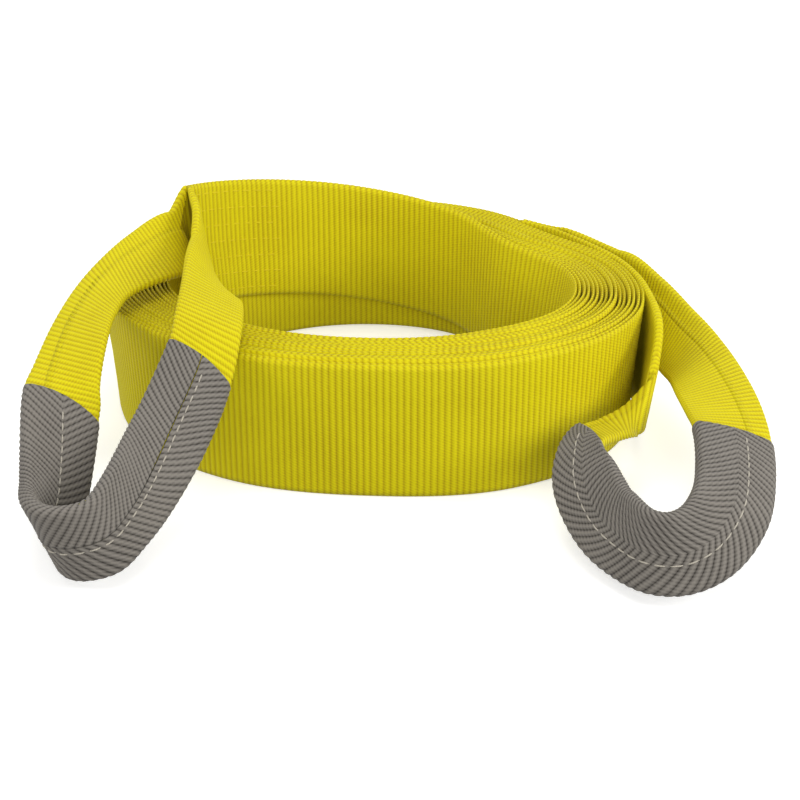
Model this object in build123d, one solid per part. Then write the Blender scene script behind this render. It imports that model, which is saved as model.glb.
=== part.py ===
from build123d import *
import math
import os

# Two-ply webbing lifting sling with a reinforced eye at each end, coiled on its edge.
# Millimetres. +Z is up and the coil stands on its lower selvedge at z = 0.
# X runs from the left eye to the right eye, Y runs away from the eyes.

# ---- driving dimensions --------------------------------------------------------------
WEB_WIDTH = 75.0            # flat width of the webbing
PLY = 2.2                   # thickness of one ply
PLY_GAP = 0.2               # daylight between the two plies
FOLDED_WIDTH = 37.0         # width of a leg where the webbing is folded in on itself
FOLDED_THICK = 4.4          # thickness of a folded leg
SLEEVE_WALL = 1.6
SLEEVE_FIT = 0.3            # clearance between the folded webbing and its sleeve
SEAM_GAP = 0.8              # slit where the two edges of the wrapped sleeve meet
HINGE_GAP = 0.6             # slit across a leg where the eye starts to lift

ORIGIN = (-2.6, 66.3)       # middle of the whole sling in plan, in the coordinates used below
COIL_CENTRE = (-17.0, 125.0)
START_ANGLE = 165.0         # polar angle of the inner end, where the left eye begins
POINTS_PER_TURN = 24
COIL_STEPS = 200            # the body winds clockwise and outwards from there
TURNS = COIL_STEPS / POINTS_PER_TURN
LEAD_TURNS = 0.42           # first part of the innermost turn, which climbs to the left eye
LEAD_RISE = 42.0            # height of its lower selvedge at the left eye
WALL_LAYERS = 8.4           # layers between the two radii below
# radius of the inside and the outside of the winding, every 30 degrees from +X
INNER_RADII = (105, 86, 96, 100, 103, 105, 106, 106, 105, 104, 109, 115)
OUTER_RADII = (146, 127, 137, 141, 144, 146, 148, 148, 146, 145, 157, 161)

LEG_INSET = 1.0             # the left legs leave this much nearer the middle, clear of the next turn

THREAD = 1.0
STITCH_LENGTH = 5.0
STITCH_PITCH = 8.0

# ---- routes of the eyes --------------------------------------------------------------
# Each station is the pair of edges of the webbing: (edge that is on top at the crotch,
# edge that is at the bottom at the crotch). A loop runs from crotch to crotch.
LEFT_OUTER_LEG = [
    ((-137, 136, 107), (-121, 128, 72)),
    ((-150, 114, 101), (-131, 95, 83)),
    ((-163, 88, 97), (-148, 60, 85)),
    ((-176, 56, 89), (-152, 28, 84)),
    ((-184, 20, 80), (-152, -2, 80)),
    ((-188, -15, 70), (-153, -28, 66)),
]
LEFT_SLEEVE = [
    ((-187, -42, 65), (-154, -36, 53)),
    ((-184, -68, 50), (-156, -52, 33)),
    ((-181, -88, 43), (-158, -76, 15)),
    ((-178, -102, 42), (-162, -97, 6)),
    ((-170, -114, 42), (-157, -112, 4)),
    ((-158, -118, 43), (-147, -117, 4)),
    ((-147, -113, 45), (-133, -113, 6)),
    ((-141, -98, 48), (-123, -99, 13)),
    ((-137, -74, 51), (-112, -78, 23)),
    ((-130, -42, 60), (-96, -50, 46)),
    ((-119, -14, 84), (-86, -26, 64)),
]
LEFT_INNER_LEG = [
    ((-117, 12, 94), (-82, -3, 84)),
    ((-116, 48, 98), (-86, 34, 86)),
    ((-117, 74, 102), (-93, 60, 79)),
    ((-118, 104, 106), (-102, 92, 68)),
    ((-119, 130, 113), (-109, 122, 52)),
]
RIGHT_OUTER_LEG = [
    ((103, 202, 75.5), (103, 202, 0.5)),
    ((124, 176, 76), (122, 176, 26)),
    ((139, 151, 76), (134, 149, 38)),
    ((153, 118, 71), (145, 112, 36)),
    ((165, 85, 65), (147, 73, 36)),
    ((174, 52, 60), (149, 36, 43)),
    ((180, 12, 57), (148, 2, 48)),
    ((184, -25, 53), (147, -28, 51)),
]
RIGHT_SLEEVE = [
    ((184, -58, 47), (146, -56, 54)),
    ((181, -85, 39), (143, -83, 50)),
    ((174, -110, 28), (138, -104, 47)),
    ((157, -127, 14), (132, -117, 44)),
    ((136, -134, 6), (124, -123, 43)),
    ((116, -131, 5), (116, -118, 42)),
    ((99, -111, 6), (111, -105, 41)),
    ((86, -88, 12), (108, -96, 41)),
    ((78, -66, 25), (106, -84, 43)),
    ((81, -45, 35), (104, -73, 45)),
    ((91, -22, 38), (101, -59, 47)),
]
RIGHT_INNER_LEG = [
    ((105, -2, 34), (111, -39, 42)),
    ((121, 8, 38), (119, -27, 39)),
    ((133, 14, 50), (125, -14, 35)),
    ((139, 30, 63), (129, 8, 26)),
    ((142, 50, 73), (133, 44, 9)),
    ((141, 84, 75.5), (139, 83, 4)),
    ((137, 118, 76), (135, 117, 4)),
    ((126, 152, 76), (124, 152, 4)),
    ((99, 197, 75.5), (99, 197, 0.5)),
]
# spans between each crotch and the slits where the eye starts to lift, outgoing and returning
LEFT_FIXED = (4, 4)
RIGHT_FIXED = (6, 5)


# ---- the coil ------------------------------------------------------------------------
def round_value(values, angle):
    """A smooth closed curve through values that are equally spaced round a circle."""
    step = 360 / len(values)
    place = (angle % 360) / step
    first = int(place)
    f = place - first
    a, b, c, d = (values[(first + k) % len(values)] for k in (-1, 0, 1, 2))
    slope_b = (c - a) / 2
    slope_c = (d - b) / 2
    rise = c - b
    return b + f * (slope_b + f * (3 * rise - 2 * slope_b - slope_c + f * (slope_b + slope_c - 2 * rise)))


def coil_point(turn, offset):
    """Point of the winding in plan, offset outwards from the middle of the two plies."""
    angle = START_ANGLE - 360 * turn
    inner = round_value(INNER_RADII, angle)
    outer = round_value(OUTER_RADII, angle)
    radius = inner + (turn + 0.5) * (outer - inner) / WALL_LAYERS + offset
    x = COIL_CENTRE[0] + radius * math.cos(math.radians(angle))
    y = COIL_CENTRE[1] + radius * math.sin(math.radians(angle))
    return x, y


def lead_height(turn):
    """Height of the lower selvedge along the climbing part of the innermost turn."""
    return LEAD_RISE * max(0.0, 1 - turn / LEAD_TURNS) ** 1.2


def ply(near, far):
    """One ply of the coiled body, between two offsets from the middle of the webbing."""
    lead_steps = math.ceil(LEAD_TURNS * POINTS_PER_TURN)
    inside = [coil_point(k / POINTS_PER_TURN, near) for k in range(COIL_STEPS + 1)]
    outside = [coil_point(k / POINTS_PER_TURN, far) for k in range(COIL_STEPS + 1)]
    wires = []
    for k in range(lead_steps + 1):
        low = lead_height(k / POINTS_PER_TURN)
        corners = [
            (*inside[k], low),
            (*outside[k], low),
            (*outside[k], low + WEB_WIDTH),
            (*inside[k], low + WEB_WIDTH),
        ]
        wires.append(Wire.make_polygon([Vector(*corner) for corner in corners]))
    lead = Solid.make_loft(wires, ruled=True)
    plan = inside[lead_steps:] + outside[lead_steps:][::-1]
    floor_face = Face(Wire.make_polygon([Vector(x, y, 0) for x, y in plan]))
    wound = Solid.extrude(floor_face, Vector(0, 0, WEB_WIDTH))
    return lead.fuse(wound)


def crotch(turn, offset):
    """Full-width station where one ply leaves the coil and becomes a leg of an eye."""
    x, y = coil_point(turn, offset)
    low = lead_height(turn)
    return (x, y, low + WEB_WIDTH), (x, y, low)


# ---- ribbons -------------------------------------------------------------------------
def frames(stations):
    """Centre, direction across, direction through and half width of every station."""
    tops = [Vector(*top) for top, _ in stations]
    bottoms = [Vector(*bottom) for _, bottom in stations]
    centres = [(top + bottom) * 0.5 for top, bottom in zip(tops, bottoms)]
    result = []
    for k, centre in enumerate(centres):
        before = centres[max(k - 1, 0)]
        after = centres[min(k + 1, len(centres) - 1)]
        across = (tops[k] - bottoms[k]).normalized()
        through = across.cross(after - before).normalized()
        result.append((centre, across, through, (tops[k] - bottoms[k]).length / 2))
    return result


def placed(frame, outline):
    """A closed polygon of (across, through) points, placed at a station."""
    centre, across, through, _ = frame
    return Wire.make_polygon([centre + across * u + through * v for u, v in outline])


def shifted(frame, distance):
    """The same station, moved along the route by a short distance."""
    centre, across, through, half_width = frame
    return centre + through.cross(across) * distance, across, through, half_width


def split_loop(stations, fixed):
    """Frames of the outgoing leg, the lifting loop and the returning leg of an eye."""
    run = frames(stations)
    first = fixed[0]
    last = len(run) - 1 - fixed[1]
    slit = HINGE_GAP / 2
    start = shifted(run[0], HINGE_GAP)
    finish = shifted(run[-1], -HINGE_GAP)
    outgoing = [start] + run[1:first] + [shifted(run[first], -slit)]
    loop = [shifted(run[first], slit)] + run[first + 1:last] + [shifted(run[last], -slit)]
    returning = [shifted(run[last], slit)] + run[last + 1:-1] + [finish]
    return outgoing, loop, returning


def flat_outline(width, thick):
    return [
        (-width / 2, -thick / 2),
        (width / 2, -thick / 2),
        (width / 2, thick / 2),
        (-width / 2, thick / 2),
    ]


def webbing_outline(half_width):
    """Section of one ply, which gets thicker as it is folded from full width to a leg."""
    width = 2 * half_width
    if width < 1.25 * FOLDED_WIDTH:
        width = FOLDED_WIDTH
    thick = min(FOLDED_THICK, PLY * WEB_WIDTH / width)
    return flat_outline(width, thick)


def webbing(run):
    wires = [placed(frame, webbing_outline(frame[3])) for frame in run]
    return Solid.make_loft(wires, ruled=True)


def sleeve_outline(seam_side):
    """Wrapped sleeve with its slit in the middle of one face; seam_side is 1 or -1."""
    half_u = FOLDED_WIDTH / 2 + SLEEVE_FIT
    half_v = FOLDED_THICK / 2 + SLEEVE_FIT
    out_u = half_u + SLEEVE_WALL
    out_v = half_v + SLEEVE_WALL
    slit = SEAM_GAP / 2
    points = [
        (slit, out_v),
        (out_u, out_v),
        (out_u, -out_v),
        (-out_u, -out_v),
        (-out_u, out_v),
        (-slit, out_v),
        (-slit, half_v),
        (-half_u, half_v),
        (-half_u, -half_v),
        (half_u, -half_v),
        (half_u, half_v),
        (slit, half_v),
    ]
    return [(u, seam_side * v) for u, v in points]


def sleeve(run, seam_side):
    outline = sleeve_outline(seam_side)
    return Solid.make_loft([placed(frame, outline) for frame in run], ruled=True)


# ---- stitching -----------------------------------------------------------------------
def stitch(centre, along, outwards):
    """One visible stitch: a short bar of thread that lies on the cloth."""
    plane = Plane(origin=centre, x_dir=along, z_dir=outwards)
    return plane * Box(STITCH_LENGTH, THREAD, THREAD * 0.6)


def sleeve_stitches(run, across_offset, side):
    """A row of lockstitch along a sleeve, on the face that side (1 or -1) names."""
    height = side * (FOLDED_THICK / 2 + SLEEVE_FIT + SLEEVE_WALL + THREAD * 0.6)
    row = [centre + across * across_offset + through * height for centre, across, through, _ in run]
    result = []
    for k in range(len(row) - 1):
        length = (row[k + 1] - row[k]).length
        along = (row[k + 1] - row[k]).normalized()
        outwards = (run[k][2] + run[k + 1][2]) * side
        outwards = (outwards - along * outwards.dot(along)).normalized()
        count = max(1, int(length / STITCH_PITCH))
        for n in range(count):
            middle = row[k] + along * (length * (n + 0.5) / count)
            result.append(stitch(middle, along, outwards))
    return Compound(children=result)


def base_stitches(first_span, offset, outwards_sign):
    """Lengthwise rows that sew the two plies together just behind an eye.

    They lie on three successive flat spans of the coil, four columns to a span.
    """
    heights = [WEB_WIDTH * part for part in (0.1, 0.3, 0.5, 0.7, 0.9)]
    result = []
    for span in range(first_span, first_span + 3):
        start = Vector(*coil_point(span / POINTS_PER_TURN, offset))
        end = Vector(*coil_point((span + 1) / POINTS_PER_TURN, offset))
        along = (end - start).normalized()
        outwards = Vector(along.Y, -along.X, 0) * outwards_sign
        for part in (0.14, 0.38, 0.62, 0.86):
            low = lead_height((span + part) / POINTS_PER_TURN)
            for height in heights:
                centre = start + (end - start) * part + Vector(0, 0, low + height)
                result.append(stitch(centre, along, outwards))
    return Compound(children=result)


# ---- nodes ---------------------------------------------------------------------------
near = PLY_GAP / 2
far = near + PLY
middle = near + PLY / 2
stitch_face = far + THREAD * 0.6

left_loop = [
    crotch(0, middle - LEG_INSET),
    *LEFT_OUTER_LEG,
    *LEFT_SLEEVE,
    *LEFT_INNER_LEG,
    crotch(0, -middle - LEG_INSET),
]
right_loop = [
    crotch(TURNS, middle),
    *RIGHT_OUTER_LEG,
    *RIGHT_SLEEVE,
    *RIGHT_INNER_LEG,
    crotch(TURNS, -middle),
]
left_outgoing, left_eye, left_returning = split_loop(left_loop, LEFT_FIXED)
right_outgoing, right_eye, right_returning = split_loop(right_loop, RIGHT_FIXED)
left_start = 1 + len(LEFT_OUTER_LEG)
right_start = 1 + len(RIGHT_OUTER_LEG)
left_sleeve_run = frames(left_loop)[left_start:left_start + len(LEFT_SLEEVE)]
right_sleeve_run = frames(right_loop)[right_start:right_start + len(RIGHT_SLEEVE)]

nodes = {
    "body_inner_ply": ply(-far, -near),
    "body_outer_ply": ply(near, far),
    "left_base_stitching": base_stitches(0, -stitch_face, -1),
    "right_base_stitching": base_stitches(COIL_STEPS - 3, stitch_face, 1),
    "left_eye_outer_leg": webbing(left_outgoing),
    "left_eye_inner_leg": webbing(left_returning),
    "right_eye_outer_leg": webbing(right_outgoing),
    "right_eye_inner_leg": webbing(right_returning),
    "left_eye_webbing": webbing(left_eye),
    "right_eye_webbing": webbing(right_eye),
    "left_eye_sleeve": sleeve(left_sleeve_run, -1),
    "right_eye_sleeve": sleeve(right_sleeve_run, 1),
    "left_sleeve_seam_stitching": sleeve_stitches(left_sleeve_run, -3.0, -1),
    "left_sleeve_face_stitching": sleeve_stitches(left_sleeve_run, 0.0, 1),
    "right_sleeve_seam_stitching": sleeve_stitches(right_sleeve_run, -3.0, 1),
    "right_sleeve_face_stitching": sleeve_stitches(right_sleeve_run, 5.0, -1),
}

os.makedirs("parts", exist_ok=True)
to_origin = Pos(-ORIGIN[0], -ORIGIN[1], 0)
for name, shape in nodes.items():
    export_step(to_origin * shape, f"parts/{name}.step")
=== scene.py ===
import math

import bpy
import numpy as np
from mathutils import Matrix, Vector


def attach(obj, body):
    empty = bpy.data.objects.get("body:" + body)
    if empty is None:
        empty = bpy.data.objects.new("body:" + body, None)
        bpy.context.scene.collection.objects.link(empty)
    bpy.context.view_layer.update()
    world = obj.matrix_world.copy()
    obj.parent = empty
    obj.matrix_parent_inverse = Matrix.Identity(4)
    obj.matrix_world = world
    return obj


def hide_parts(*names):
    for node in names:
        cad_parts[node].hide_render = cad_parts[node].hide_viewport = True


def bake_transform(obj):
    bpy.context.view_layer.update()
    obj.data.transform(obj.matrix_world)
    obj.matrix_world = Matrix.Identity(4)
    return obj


# Two-ply webbing sling, coiled on its edge, with an eye hanging over each end of the coil.
# Shapes are worked out in millimetres in the CAD source's coordinates and stored in metres.

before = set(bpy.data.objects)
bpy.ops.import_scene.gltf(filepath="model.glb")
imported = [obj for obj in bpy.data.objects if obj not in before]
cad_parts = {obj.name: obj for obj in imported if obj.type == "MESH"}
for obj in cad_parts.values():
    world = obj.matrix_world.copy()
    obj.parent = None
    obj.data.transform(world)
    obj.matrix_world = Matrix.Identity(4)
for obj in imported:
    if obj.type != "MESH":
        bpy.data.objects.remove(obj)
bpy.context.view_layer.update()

ORIGIN = np.array((-2.6, 66.3, 0.0))
WEB_WIDTH = 75.0
PLY = 2.2
PLY_GAP = 0.2
LEG_INSET = 1.0             # the left legs leave this much nearer the middle, clear of the next turn
LEG_WIDTH = 37.0            # width of a leg, where the webbing is folded in from both sides
RIB_PITCH = 3.5
RIB_HEIGHT = 0.5
# places across one rib where the mesh has a column, and the height there
RIB_PHASES = (0.0, 0.22, 0.5, 0.78)
RIB_PROFILE = (0.0, 0.8, 1.0, 0.8)
PLAIN_RIB = 0.7             # rib height where a rib has only one column

# ---- the coil, as in the CAD source ------------------------------------------------
COIL_CENTRE = (-17.0, 125.0)
START_ANGLE = 165.0
TURNS = 200 / 24
LEAD_TURNS = 0.42
LEAD_RISE = 42.0
WALL_LAYERS = 8.4
COIL_LEAN = 7.0             # how far the wall leans out, at its top and at the ends of the coil
INNER_RADII = (105, 86, 96, 100, 103, 105, 106, 106, 105, 104, 109, 115)
OUTER_RADII = (146, 127, 137, 141, 144, 146, 148, 148, 146, 145, 157, 161)

# ---- routes of the eyes: (edge on top at the crotch, edge at the bottom there) -------
LEFT_LOOP = [
    ((-137, 136, 107), (-121, 128, 72)),
    ((-150, 114, 101), (-131, 95, 83)),
    ((-163, 88, 97), (-148, 60, 85)),
    ((-176, 56, 89), (-152, 28, 84)),
    ((-184, 20, 80), (-152, -2, 80)),
    ((-188, -15, 70), (-153, -28, 66)),
    ((-187, -42, 65), (-154, -36, 53)),
    ((-184, -68, 50), (-156, -52, 33)),
    ((-181, -88, 43), (-158, -76, 15)),
    ((-178, -102, 42), (-162, -97, 6)),
    ((-170, -114, 42), (-157, -112, 4)),
    ((-158, -118, 43), (-147, -117, 4)),
    ((-147, -113, 45), (-133, -113, 6)),
    ((-141, -98, 48), (-123, -99, 13)),
    ((-137, -74, 51), (-112, -78, 23)),
    ((-130, -42, 60), (-96, -50, 46)),
    ((-119, -14, 84), (-86, -26, 64)),
    ((-117, 12, 94), (-82, -3, 84)),
    ((-116, 48, 98), (-86, 34, 86)),
    ((-117, 74, 102), (-93, 60, 79)),
    ((-118, 104, 106), (-102, 92, 68)),
    ((-119, 130, 113), (-109, 122, 52)),
]
LEFT_SLEEVE = (7, 17)       # stations of the loop, crotch included, where the sleeve begins and ends
RIGHT_LOOP = [
    ((103, 202, 75.5), (103, 202, 0.5)),
    ((124, 176, 76), (122, 176, 26)),
    ((139, 151, 76), (134, 149, 38)),
    ((153, 118, 71), (145, 112, 36)),
    ((165, 85, 65), (147, 73, 36)),
    ((174, 52, 60), (149, 36, 43)),
    ((180, 12, 57), (148, 2, 48)),
    ((184, -25, 53), (147, -28, 51)),
    ((184, -58, 47), (146, -56, 54)),
    ((181, -85, 39), (143, -83, 50)),
    ((174, -110, 28), (138, -104, 47)),
    ((157, -127, 14), (132, -117, 44)),
    ((136, -134, 6), (124, -123, 43)),
    ((116, -131, 5), (116, -118, 42)),
    ((99, -111, 6), (111, -105, 41)),
    ((86, -88, 12), (108, -96, 41)),
    ((78, -66, 25), (106, -84, 43)),
    ((81, -45, 35), (104, -73, 45)),
    ((91, -22, 38), (101, -59, 47)),
    ((105, -2, 34), (111, -39, 42)),
    ((121, 8, 38), (119, -27, 39)),
    ((133, 14, 50), (125, -14, 35)),
    ((139, 30, 63), (129, 8, 26)),
    ((142, 50, 73), (133, 44, 9)),
    ((141, 84, 75.5), (139, 83, 4)),
    ((137, 118, 76), (135, 117, 4)),
    ((126, 152, 76), (124, 152, 4)),
    ((99, 197, 75.5), (99, 197, 0.5)),
]
RIGHT_SLEEVE = (9, 19)


# ---- materials -----------------------------------------------------------------------
def node(tree, kind, **inputs):
    made = tree.nodes.new(kind)
    for name, value in inputs.items():
        made.inputs[name.replace("_", " ")].default_value = value
    return made


def steps(tree, value, *operations):
    """A chain of Math nodes that starts from value; each operation is (name, second number)."""
    for operation, number in operations:
        made = tree.nodes.new("ShaderNodeMath")
        made.operation = operation
        tree.links.new(value, made.inputs[0])
        if number is not None:
            made.inputs[1].default_value = number
        value = made.outputs[0]
    return value


def fabric(name, crest, painted_valley_shade, roughness, sheen, pitch, slope, bead, beading, bump):
    """Ribbed cloth: ridges of a pitch in metres that slant by slope, with beads of yarn along them
    (beading is their share). Its colour holds painted shade: the hollows between the ridges and between
    the beads take the darker shade colour, and the crests the lighter one. Fine specks and random
    blotches of lighter and darker colour are mixed in as well. UVs are metres along and across the cloth."""
    material = bpy.data.materials.new(name)
    material.use_nodes = True
    tree = material.node_tree
    shader = tree.nodes["Principled BSDF"]
    shader.inputs["Roughness"].default_value = roughness
    shader.inputs["Sheen Weight"].default_value = sheen
    shader.inputs["Sheen Roughness"].default_value = 0.5
    shader.inputs["Specular IOR Level"].default_value = 0.15
    link = tree.links.new

    place = node(tree, "ShaderNodeTexCoord")
    blotch = node(tree, "ShaderNodeTexNoise", Scale=24.0, Detail=3.0, Roughness=0.6)
    link(place.outputs["Object"], blotch.inputs["Vector"])
    speck = node(tree, "ShaderNodeTexNoise", Scale=800.0, Detail=2.0, Roughness=0.6)
    link(place.outputs["Object"], speck.inputs["Vector"])

    parts = node(tree, "ShaderNodeSeparateXYZ")
    link(place.outputs["UV"], parts.inputs[0])
    across = steps(tree, parts.outputs["Y"], ("ABSOLUTE", None), ("MULTIPLY", slope))
    slanted = node(tree, "ShaderNodeMath")
    link(parts.outputs["X"], slanted.inputs[0])
    link(across, slanted.inputs[1])
    ridge = steps(
        tree, slanted.outputs[0], ("DIVIDE", pitch), ("PINGPONG", 0.5), ("MULTIPLY", 2.0), ("POWER", 0.6)
    )
    wander = node(tree, "ShaderNodeMath")
    wander.operation = "SUBTRACT"
    link(parts.outputs["Y"], wander.inputs[0])
    link(steps(tree, parts.outputs["X"], ("MULTIPLY", 0.45)), wander.inputs[1])
    beads = steps(tree, wander.outputs[0], ("DIVIDE", bead), ("PINGPONG", 0.5), ("MULTIPLY", 2.0))
    yarn = node(tree, "ShaderNodeMix", Factor=beading)
    link(ridge, yarn.inputs["A"])
    link(beads, yarn.inputs["B"])
    grain = node(tree, "ShaderNodeMix", Factor=0.22)
    link(yarn.outputs["Result"], grain.inputs["A"])
    link(speck.outputs["Fac"], grain.inputs["B"])
    shade_and_tone = node(tree, "ShaderNodeMix", Factor=0.25)
    link(grain.outputs["Result"], shade_and_tone.inputs["A"])
    link(blotch.outputs["Fac"], shade_and_tone.inputs["B"])
    # Colour ramp: painted shade. The low places of the rib and bead pattern get the shade colour and the
    # crests the crest colour; the specks and blotches mixed in are real random variation.
    ramp = node(tree, "ShaderNodeValToRGB")
    ramp.color_ramp.elements[0].position = 0.22
    ramp.color_ramp.elements[0].color = (*painted_valley_shade, 1)
    ramp.color_ramp.elements[1].position = 0.68
    ramp.color_ramp.elements[1].color = (*crest, 1)
    link(shade_and_tone.outputs["Result"], ramp.inputs["Fac"])
    link(ramp.outputs["Color"], shader.inputs["Base Color"])
    relief = node(tree, "ShaderNodeBump", Strength=bump, Distance=0.0005)
    link(grain.outputs["Result"], relief.inputs["Height"])
    link(relief.outputs["Normal"], shader.inputs["Normal"])
    return material


RIB_M = RIB_PITCH / 1000
TWILL_PITCH = 3.7
TWILL_SLOPE = 0.75
# The second colour given to each fabric is painted shade for the hollows between its ridges and yarn
# beads; the first is the colour of the crests.
YELLOW = fabric(
    "webbing", (0.71, 0.63, 0.002), (0.41, 0.275, 0.001), 0.6, 0.03, RIB_M, 0.0, 0.0016, 0.3, 0.7
)
GREY = fabric(
    "sleeve",
    (0.225, 0.205, 0.178),
    # painted shade in the hollows of the herringbone twill
    (0.016, 0.013, 0.011),
    0.85,
    0.1,
    TWILL_PITCH / 1000,
    TWILL_SLOPE,
    0.0019,
    0.26,
    0.9,
)
YELLOW_THREAD = fabric(
    "yellow_thread", (0.76, 0.64, 0.01), (0.6, 0.48, 0.005), 0.5, 0.05, 0.0008, 0.5, 0.001, 0.3, 0.3
)
PALE_THREAD = fabric(
    "pale_thread", (0.50, 0.46, 0.38), (0.32, 0.29, 0.24), 0.6, 0.1, 0.0008, 0.5, 0.001, 0.3, 0.3
)


# ---- meshes --------------------------------------------------------------------------
def make_mesh(name, points, faces, uv, material):
    mesh = bpy.data.meshes.new(name)
    mesh.from_pydata(((points - ORIGIN) / 1000).tolist(), [], faces)
    corner = np.zeros(len(mesh.loops), np.int32)
    mesh.loops.foreach_get("vertex_index", corner)
    layer = mesh.uv_layers.new(name="UVMap")
    layer.data.foreach_set("uv", (uv[corner] / 1000).astype(np.float32).ravel())
    mesh.polygons.foreach_set("use_smooth", [True] * len(mesh.polygons))
    mesh.materials.append(material)
    mesh.update()
    made = bpy.data.objects.new(name, mesh)
    bpy.context.scene.collection.objects.link(made)
    return made


def ring_faces(columns, around, first=0):
    """Faces of a closed tube of rings, with a cap on each end, facing out."""
    index = np.arange(columns * around).reshape(columns, around) + first
    ahead = np.roll(index, -1, axis=1)
    quads = np.stack([index[:-1], index[1:], ahead[1:], ahead[:-1]], axis=-1)
    return quads.reshape(-1, 4).tolist() + [index[0].tolist(), index[-1][::-1].tolist()]


def signed_volume(rings):
    """Above 0 where the faces that ring_faces makes look outwards."""
    a, b = rings[:-1], rings[1:]
    c, d = np.roll(b, -1, axis=1), np.roll(a, -1, axis=1)
    return float((np.cross(a, b) * c).sum() + (np.cross(a, c) * d).sum())


def ring_mesh(name, rings, uv, material):
    if signed_volume(rings - rings.reshape(-1, 3).mean(0)) < 0:
        rings = rings[:, ::-1]
        uv = uv[:, ::-1]
    columns, around = rings.shape[:2]
    return make_mesh(
        name, rings.reshape(-1, 3), ring_faces(columns, around), uv.reshape(-1, 2), material
    )


# ---- the coil ------------------------------------------------------------------------
def round_values(values, angles):
    """A smooth closed curve through values that are equally spaced round a circle."""
    table = np.array(values, float)
    step = 360 / len(table)
    place = np.mod(angles, 360) / step
    first = place.astype(int)
    f = place - first
    a, b, c, d = (table[(first + k) % len(table)] for k in (-1, 0, 1, 2))
    slope_b = (c - a) / 2
    slope_c = (d - b) / 2
    rise = c - b
    return b + f * (slope_b + f * (3 * rise - 2 * slope_b - slope_c + f * (slope_b + slope_c - 2 * rise)))


def coil_points(turns, offset, height):
    """Points of the winding; the walls lean out towards the top at the two ends of the coil."""
    angles = START_ANGLE - 360 * turns
    inner = round_values(INNER_RADII, angles)
    outer = round_values(OUTER_RADII, angles)
    share = (np.clip(height, 0, WEB_WIDTH) / WEB_WIDTH) ** 1.6
    lean = np.cos(np.radians(angles)) ** 4 * COIL_LEAN * share
    radius = inner + (turns + 0.5) * (outer - inner) / WALL_LAYERS + offset + lean
    x = COIL_CENTRE[0] + radius * np.cos(np.radians(angles))
    y = COIL_CENTRE[1] + radius * np.sin(np.radians(angles))
    return np.stack([x, y, height + 0 * x], axis=-1)


def lead_height(turns):
    return LEAD_RISE * np.clip(1 - turns / LEAD_TURNS, 0, 1) ** 1.2


def uneven(turns):
    """Each turn stands a little higher or lower than its neighbours."""
    slow = np.sin(turns * 2 * math.pi * 1.37 + 1.1) + np.sin(turns * 2 * math.pi * 2.71)
    layer = np.sin(turns * 2 * math.pi * 0.43 + 2.0)
    return 0.35 * slow + 0.55 * layer


def rib_columns(length, fine):
    """Places along a length with a column each, and the rib height there. fine(place) says where
    ribs are modelled; elsewhere there is one column to a rib, on its crest."""
    places = []
    heights = []
    for rib in range(int(length / RIB_PITCH)):
        start = rib * RIB_PITCH
        if fine(start):
            places += [start + phase * RIB_PITCH for phase in RIB_PHASES]
            heights += RIB_PROFILE
        else:
            places.append(start + 0.5 * RIB_PITCH)
            heights.append(PLAIN_RIB)
    places.append(length)
    heights.append(PLAIN_RIB)
    return np.array(places), np.array(heights)


def make_ply(name, near, far, ribbed):
    """One ply of the coil as a closed strip; ribbed(turn) is true where its face is seen."""
    dense = np.linspace(0, TURNS, 4000)
    line = coil_points(dense, (near + far) / 2, 0 * dense)
    run = np.concatenate([[0], np.cumsum(np.linalg.norm(np.diff(line, axis=0), axis=1))])
    places, ribs = rib_columns(run[-1], lambda s: ribbed(np.interp(s, run, dense)))
    turns = np.interp(places, run, dense)
    low = lead_height(turns)
    top = low + WEB_WIDTH + uneven(turns) * np.clip(turns * 2, 0, 1)
    bulge = RIB_HEIGHT * (ribs - 0.6)
    half = (far - near) / 2
    middle = (far + near) / 2
    wall = (0.0, 0.04, 0.25, 0.5, 0.75, 0.96, 1.0)
    edge = (0.0, 0.75, 1.0, 1.0, 1.0, 0.75, 0.0)
    outline = []
    for part, full in zip(wall, edge):
        outline.append((part, half * (0.35 + 0.65 * full), full))
    for part, full in zip(wall[::-1], edge[::-1]):
        outline.append((part, -half * (0.35 + 0.65 * full), -full))
    rings = []
    uvs = []
    for k, (part, reach, swell) in enumerate(outline):
        crown = 0.35 * (ribs - 0.5) * (part in (0.0, 1.0))
        height = low + (top - low) * part + (crown if part > 0.5 else 0)
        rings.append(coil_points(turns, middle + reach + bulge * swell, height))
        uvs.append(np.stack([places, 0 * places + part * WEB_WIDTH], axis=-1))
    made = ring_mesh(name, np.stack(rings, axis=1), np.stack(uvs, axis=1), YELLOW)
    return made


# ---- ribbons along the eyes ------------------------------------------------------------
def crotch(turn, offset):
    turns = np.array([turn])
    low = lead_height(turns)
    top = coil_points(turns, offset, low + WEB_WIDTH)[0]
    bottom = coil_points(turns, offset, low)[0]
    return tuple(top), tuple(bottom)


def smooth(points, per_span=30):
    """Catmull-Rom curve through points, with per_span samples between two of them."""
    p = np.array(points, float)
    p = np.concatenate([[2 * p[0] - p[1]], p, [2 * p[-1] - p[-2]]])
    t = np.linspace(0, 1, per_span, endpoint=False)[:, None]
    spans = []
    for k in range(1, len(p) - 2):
        a, b, c, d = p[k - 1:k + 3]
        square = (2 * a - 5 * b + 4 * c - d) * t ** 2
        cube = (3 * b - a - 3 * c + d) * t ** 3
        spans.append(0.5 * (2 * b + (c - a) * t + square + cube))
    spans.append(p[-2][None])
    return np.concatenate(spans)


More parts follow.
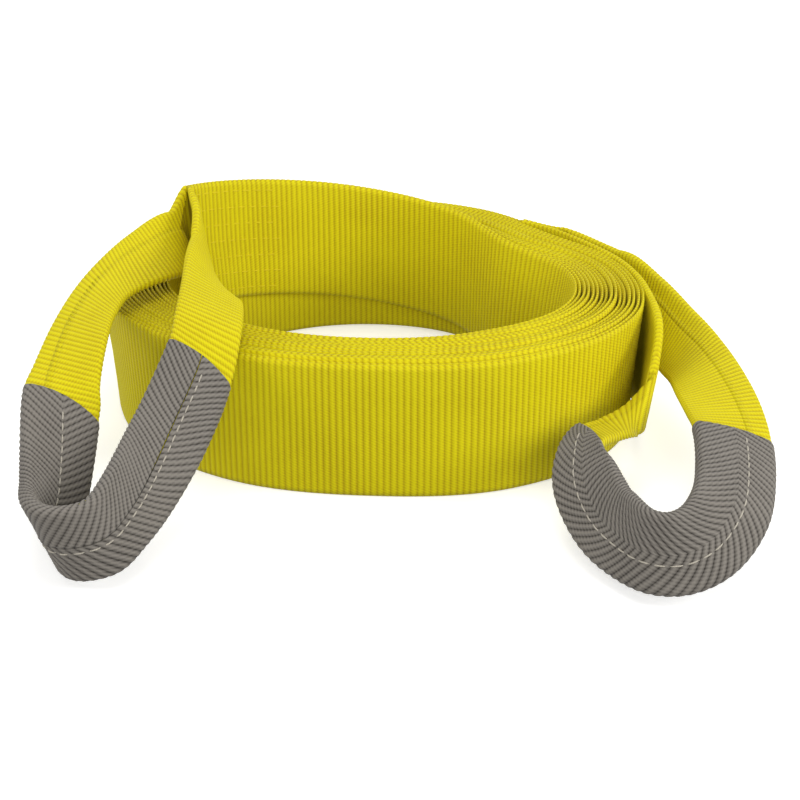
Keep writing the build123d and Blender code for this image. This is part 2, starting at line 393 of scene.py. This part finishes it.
class Ribbon:
    """The run of an eye's webbing: centre, directions and width at any place along it."""

    def __init__(self, stations):
        self.per_span = 30
        top = smooth([station[0] for station in stations], self.per_span)
        bottom = smooth([station[1] for station in stations], self.per_span)
        self.centre = (top + bottom) / 2
        self.width = np.linalg.norm(top - bottom, axis=1)
        across = (top - bottom) / self.width[:, None]
        travel = np.gradient(self.centre, axis=0)
        through = np.cross(across, travel)
        self.through = through / np.linalg.norm(through, axis=1)[:, None]
        self.across = across
        lengths = np.linalg.norm(np.diff(self.centre, axis=0), axis=1)
        self.run = np.concatenate([[0], np.cumsum(lengths)])
        self.length = float(self.run[-1])

    def at_station(self, number):
        return float(self.run[number * self.per_span])

    def look(self, values, places):
        return np.stack([np.interp(places, self.run, column) for column in values.T], axis=-1)

    def frames(self, places):
        centre = self.look(self.centre, places)
        across = self.look(self.across, places)
        across /= np.linalg.norm(across, axis=1)[:, None]
        through = self.look(self.through, places)
        through -= across * (through * across).sum(1)[:, None]
        through /= np.linalg.norm(through, axis=1)[:, None]
        return centre, across, through

    def fold_width(self, places):
        width = np.interp(places, self.run, self.width)
        return LEG_WIDTH + np.clip(width - 42, 0, 33) * (WEB_WIDTH - LEG_WIDTH) / 33


def fold_outline(width, side):
    """Section of webbing whose two edges are folded in over its middle, 75 mm from edge to edge.
    Returns arrays of (u, v) and of how much of the rib height each point takes."""
    spare = WEB_WIDTH - width
    wide, narrow = 0.72 * spare, 0.28 * spare
    h = np.minimum(1.2, 0.15 * spare + 0.02)
    inside = np.minimum(PLY / 2, h)
    left, right = -width / 2 + h, width / 2 - h
    line = []
    for part in np.linspace(1, 0, 6):
        line.append((left + wide * part, h, 0 * h, 1 + 0 * h, inside))
    for turn in np.linspace(0, math.pi, 7)[1:-1]:
        u, v = -math.sin(turn), math.cos(turn)
        line.append((left + h * u, h * v, u + 0 * h, v + 0 * h, inside))
    for part in np.linspace(0, 1, 9):
        line.append((left + (right - left) * part, -h, 0 * h, -1 + 0 * h, PLY / 2 + 0 * h))
    for turn in np.linspace(math.pi, 0, 7)[1:-1]:
        u, v = math.sin(turn), math.cos(turn)
        line.append((right + h * u, h * v, u + 0 * h, v + 0 * h, inside))
    for part in np.linspace(0, 1, 4):
        line.append((right - narrow * part, h, 0 * h, 1 + 0 * h, inside))
    outline = []
    for u, v, nu, nv, _ in line:
        outline.append((u + nu * PLY / 2, side * (v + nv * PLY / 2), nu, side * nv, 1.0))
    for u, v, nu, nv, inward in line[::-1]:
        outline.append((u - nu * inward, side * (v - nv * inward), nu, side * nv, 0.0))
    return outline


def make_loop(name, ribbon, side, replaced):
    """The whole eye in webbing, from crotch to crotch, bending where it lifts off the coil. Its
    ribs swell past the selvedge, so the lower selvedge is kept on the floor."""
    places, ribs = rib_columns(ribbon.length, lambda s: True)
    centre, across, through = ribbon.frames(places)
    width = ribbon.fold_width(places)
    bulge = RIB_HEIGHT * (ribs - 0.6)
    rings = []
    uvs = []
    for k, (u, v, nu, nv, swell) in enumerate(fold_outline(width, side)):
        u = u + bulge * swell * nu
        v = v + bulge * swell * nv
        ring = centre + across * u[:, None] + through * v[:, None]
        ring[:, 2] = np.maximum(ring[:, 2], 0.0)
        rings.append(ring)
        uvs.append(np.stack([places, u + (0 if swell else 90)], axis=-1))
    made = ring_mesh(name, np.stack(rings, axis=1), np.stack(uvs, axis=1), YELLOW)
    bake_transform(made)
    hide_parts(*replaced)
    return made


# ---- sleeves -------------------------------------------------------------------------
SLEEVE_HALF_U = 20.0
SLEEVE_HALF_V = 4.1
SLEEVE_WALL = 1.5
SLEEVE_SLIT = 0.3
TWILL_HEIGHT = 0.6
TWILL_BEAD = 0.16           # share of the ridge height that the beads of yarn take
TWILL_BEAD_PITCH = 1.9


def sleeve_outline(seam_side):
    """(u, v, outward normal, distance round from the slit, 1 outside or 0 inside) of the wrap."""
    corner = 3.4
    flat_u = SLEEVE_HALF_U - corner
    flat_v = SLEEVE_HALF_V - corner
    quarter = corner * math.pi / 2
    half_round = 2 * flat_u + 2 * quarter + 2 * flat_v
    outline = []
    for q in np.linspace(SLEEVE_SLIT, half_round - 0.01, 50):
        rest = q
        if rest < flat_u:
            place = (rest, SLEEVE_HALF_V, 0.0, 1.0)
        elif rest < flat_u + quarter:
            turn = (rest - flat_u) / corner
            nu, nv = math.sin(turn), math.cos(turn)
            place = (flat_u + corner * nu, flat_v + corner * nv, nu, nv)
        elif rest < flat_u + quarter + 2 * flat_v:
            place = (SLEEVE_HALF_U, flat_v - (rest - flat_u - quarter), 1.0, 0.0)
        elif rest < flat_u + 2 * quarter + 2 * flat_v:
            turn = (rest - flat_u - quarter - 2 * flat_v) / corner
            nu, nv = math.cos(turn), -math.sin(turn)
            place = (flat_u + corner * nu, -flat_v + corner * nv, nu, nv)
        else:
            place = (flat_u - (rest - flat_u - 2 * quarter - 2 * flat_v), -SLEEVE_HALF_V, 0.0, -1.0)
        outline.append((*place, q))
    mirrored = [(-u, v, -nu, nv, q) for u, v, nu, nv, q in outline[::-1]]
    full = [(u, seam_side * v, nu, seam_side * nv, q, 1) for u, v, nu, nv, q in outline + mirrored]
    inner_u, inner_v = SLEEVE_HALF_U - SLEEVE_WALL, SLEEVE_HALF_V - SLEEVE_WALL
    inside = [
        (-SLEEVE_SLIT, inner_v), (-inner_u, inner_v), (-inner_u, -inner_v),
        (inner_u, -inner_v), (inner_u, inner_v), (SLEEVE_SLIT, inner_v),
    ]
    return full + [(u, seam_side * v, 0.0, 0.0, 0.0, 0) for u, v in inside]


def twill(places, round_from_slit):
    """Height of the herringbone: slanting ridges, mirrored about the slit and the line opposite."""
    phase = (places + TWILL_SLOPE * round_from_slit) / TWILL_PITCH
    ridge = np.abs(np.sin(math.pi * phase)) ** 0.7
    beads = TWILL_BEAD * np.sin(2 * math.pi * (0.5 * places - round_from_slit) / TWILL_BEAD_PITCH)
    return TWILL_HEIGHT * (ridge - 0.6) + TWILL_HEIGHT * beads * ridge


def make_sleeve(name, ribbon, stations, seam_side, hand, ends, body, replaced):
    """Herringbone cloth wrapped round an eye. ends has (bow, skew) for each end: how far its edge
    reaches past the station in the middle, and at the edge that is on top at the crotch. hand is 1
    or -1 and says which way the chevrons point."""
    first, last = (ribbon.at_station(number) for number in stations)
    rest = np.linspace(first, last, int((last - first) / 0.72))
    from_end = np.minimum(rest - first, last - rest)
    hem = 1 - 0.5 * np.exp(-from_end / 1.2)
    rings = []
    uvs = []
    for u, v, nu, nv, q, outside in sleeve_outline(seam_side):
        share = u / SLEEVE_HALF_U
        reach = [bow * (1 - share * share) + skew * share for bow, skew in ends]
        places = rest - reach[0] * np.exp((first - rest) / 25) + reach[1] * np.exp((rest - last) / 25)
        centre, across, through = ribbon.frames(places)
        lift = twill(hand * places, q) * hem if outside else 0 * places
        lip = 0.5 * math.exp(-q / 1.6) if outside and q < 6 else 0.0
        rings.append(
            centre + across * (u + lift * nu)[:, None] + through * (v + (lift + lip) * nv)[:, None]
        )
        uvs.append(np.stack([hand * places, np.full_like(places, q if u > 0 else -q)], axis=-1))
    made = ring_mesh(name, np.stack(rings, axis=1), np.stack(uvs, axis=1), GREY)
    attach(made, body)
    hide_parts(*replaced)
    return made


# ---- thread --------------------------------------------------------------------------
def make_stitches(name, paths, radius, material, body, replaced):
    """Rows of stitches as one piece: each path is the points along the middle of one stitch."""
    around = 6
    swell = np.array([0.25, 0.85, 1.0, 1.0, 0.85, 0.25]) * radius
    points = []
    faces = []
    turn = np.linspace(0, 2 * math.pi, around, endpoint=False)
    for path in paths:
        line = smooth([path[0], path[1], path[2]], 3)[[0, 1, 2, 4, 5, 6]]
        along = line[-1] - line[0]
        side = np.cross(along, path[3])
        side /= np.linalg.norm(side)
        up = np.cross(side, along)
        up /= np.linalg.norm(up)
        ring = np.cos(turn)[:, None] * side + np.sin(turn)[:, None] * up
        faces += ring_faces(len(line), around, len(points) * len(line) * around)
        points.append((line[:, None] + swell[:, None, None] * ring).reshape(-1, 3))
    points = np.concatenate(points)
    made = make_mesh(name, points, faces, points[:, :2], material)
    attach(made, body)
    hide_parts(*replaced)
    return made


def sleeve_row(ribbon, stations, across_offset, side, height):
    """A row of stitches along a sleeve, sunk a little into the cloth at each end."""
    first, last = (ribbon.at_station(number) for number in stations)
    pitch = 6.2
    paths = []
    for k in range(int((last - first - 6) / pitch)):
        start = first + 4 + k * pitch
        places = np.array([start, start + 2.6, start + 5.2])
        centre, across, through = ribbon.frames(places)
        rise = np.array([-0.55, 0.1, -0.55]) + height
        line = centre + across * across_offset + through * (side * rise)[:, None]
        paths.append((*line, through[1] * side))
    return paths


def base_rows(first_turn, last_turn, offset, outwards):
    """Lengthwise rows that sew the two plies together just behind an eye."""
    paths = []
    rows = 7
    pitch = 0.0125
    columns = int((last_turn - first_turn) / pitch)
    for k in range(columns):
        for row in range(rows):
            turns = first_turn + (k + np.array([0.0, 0.36, 0.72]) + 0.5 * (row % 2)) * pitch
            height = lead_height(turns) + WEB_WIDTH * (0.08 + 0.84 * row / (rows - 1))
            sunk = np.array([-0.35, 0.1, -0.35]) * outwards
            line = coil_points(turns, offset + sunk, height)
            normal = line[1] - np.array((*COIL_CENTRE, line[1][2]))
            paths.append((*line, normal * outwards))
    return paths


# ---- build ---------------------------------------------------------------------------
near = PLY_GAP / 2
far = near + PLY
middle = near + PLY / 2

outer_ply = make_ply("body_outer_ply_cloth", near, far, lambda turn: turn > TURNS - 1.1 or turn < 0.5)
inner_ply = make_ply("body_inner_ply_cloth", -far, -near, lambda turn: turn < 1.05)
for made, replaced in ((outer_ply, "body_outer_ply"), (inner_ply, "body_inner_ply")):
    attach(made, "coil")
    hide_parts(replaced)

left = Ribbon([crotch(0, middle - LEG_INSET), *LEFT_LOOP, crotch(0, -middle - LEG_INSET)])
right = Ribbon([crotch(TURNS, middle), *RIGHT_LOOP, crotch(TURNS, -middle)])
make_loop(
    "left_eye_loop",
    left,
    1,
    ("left_eye_outer_leg", "left_eye_inner_leg", "left_eye_webbing"),
)
make_loop(
    "right_eye_loop",
    right,
    -1,
    ("right_eye_outer_leg", "right_eye_inner_leg", "right_eye_webbing"),
)
make_sleeve(
    "left_eye_sleeve_cloth", left, LEFT_SLEEVE, -1, -1, ((5, 6), (4, 1)), "left_eye", ("left_eye_sleeve",)
)
make_sleeve(
    "right_eye_sleeve_cloth",
    right,
    RIGHT_SLEEVE,
    1,
    1,
    ((3, -4), (3, 2)),
    "right_eye",
    ("right_eye_sleeve",),
)

face = SLEEVE_HALF_V + 0.35
rows = (
    ("left_sleeve_seam_stitching", left, LEFT_SLEEVE, -3.2, -1, "left_eye"),
    ("left_sleeve_face_stitching", left, LEFT_SLEEVE, 0.0, 1, "left_eye"),
    ("right_sleeve_seam_stitching", right, RIGHT_SLEEVE, -3.2, 1, "right_eye"),
    ("right_sleeve_face_stitching", right, RIGHT_SLEEVE, 5.0, -1, "right_eye"),
)
for name, ribbon, stations, offset, side, body in rows:
    paths = sleeve_row(ribbon, stations, offset, side, face)
    make_stitches(name + "_thread", paths, 0.4, PALE_THREAD, body, (name,))

for name, first_turn, last_turn, offset, outwards in (
    ("left_base_stitching", 0.01, 0.12, -far - 0.15, -1),
    ("right_base_stitching", TURNS - 0.11, TURNS - 0.012, far + 0.15, 1),
):
    paths = base_rows(first_turn, last_turn, offset, outwards)
    make_stitches(name + "_thread", paths, 0.34, YELLOW_THREAD, "coil", (name,))

# ---- studio --------------------------------------------------------------------------
scene = bpy.context.scene
scene.view_settings.view_transform = "Standard"
world = bpy.data.worlds.new("studio")
world.use_nodes = True
sky = world.node_tree
direction = node(sky, "ShaderNodeTexCoord")
direction_parts = node(sky, "ShaderNodeSeparateXYZ")
sky.links.new(direction.outputs["Generated"], direction_parts.inputs[0])
horizon = node(sky, "ShaderNodeMapRange")
horizon.inputs["From Min"].default_value = -0.15
horizon.inputs["From Max"].default_value = 0.2
horizon.inputs["To Min"].default_value = 0.34
horizon.inputs["To Max"].default_value = 0.55
sky.links.new(direction_parts.outputs["Z"], horizon.inputs["Value"])
sky.nodes["Background"].inputs["Color"].default_value = (1.0, 1.0, 1.0, 1)
sky.links.new(horizon.outputs["Result"], sky.nodes["Background"].inputs["Strength"])
scene.world = world

floor_mesh = bpy.data.meshes.new("floor")
reach = 6.0
floor_mesh.from_pydata(
    [(-reach, -reach, 0), (reach, -reach, 0), (reach, reach, 0), (-reach, reach, 0)], [], [(0, 1, 2, 3)]
)
white = bpy.data.materials.new("floor")
white.use_nodes = True
white.node_tree.nodes["Principled BSDF"].inputs["Base Color"].default_value = (0.92, 0.92, 0.92, 1)
white.node_tree.nodes["Principled BSDF"].inputs["Emission Color"].default_value = (1, 1, 1, 1)
white.node_tree.nodes["Principled BSDF"].inputs["Emission Strength"].default_value = 0.42
white.node_tree.nodes["Principled BSDF"].inputs["Roughness"].default_value = 0.9
white.node_tree.nodes["Principled BSDF"].inputs["Specular IOR Level"].default_value = 0.0
floor_mesh.materials.append(white)
floor = bpy.data.objects.new("floor", floor_mesh)
floor.location.z = -0.0004
floor.visible_diffuse = False
scene.collection.objects.link(floor)


def area_light(name, place, aim, size, watts, colour=(1, 1, 1)):
    data = bpy.data.lights.new(name, "AREA")
    data.size = size
    data.energy = watts
    data.color = colour
    made = bpy.data.objects.new(name, data)
    made.location = place
    made.rotation_euler = (Vector(aim) - Vector(place)).to_track_quat("-Z", "Y").to_euler()
    scene.collection.objects.link(made)


area_light("top", (0.0, 0.25, 1.7), (0, 0, 0.05), 1.0, 8)
area_light("left", (-1.5, -0.35, 0.75), (-0.05, 0, 0.05), 0.8, 7)
area_light("right", (1.5, -0.45, 0.75), (0.05, 0, 0.05), 0.7, 12)
area_light("front", (0.3, -2.0, 0.7), (0, 0, 0.05), 0.8, 16)

CAMERA_TARGET = Vector((0.0026, -0.0663, 0.046))
CAMERA_DISTANCE = 0.9
CAMERA_ELEVATION = math.radians(23.5)
camera_data = bpy.data.cameras.new("camera")
camera_data.sensor_width = 36.0
camera_data.lens = 76.8
camera = bpy.data.objects.new("camera", camera_data)
camera.location = CAMERA_TARGET + CAMERA_DISTANCE * Vector(
    (0, -math.cos(CAMERA_ELEVATION), math.sin(CAMERA_ELEVATION))
)
camera.rotation_euler = (math.pi / 2 - CAMERA_ELEVATION, 0, 0)
scene.collection.objects.link(camera)
scene.camera = camera
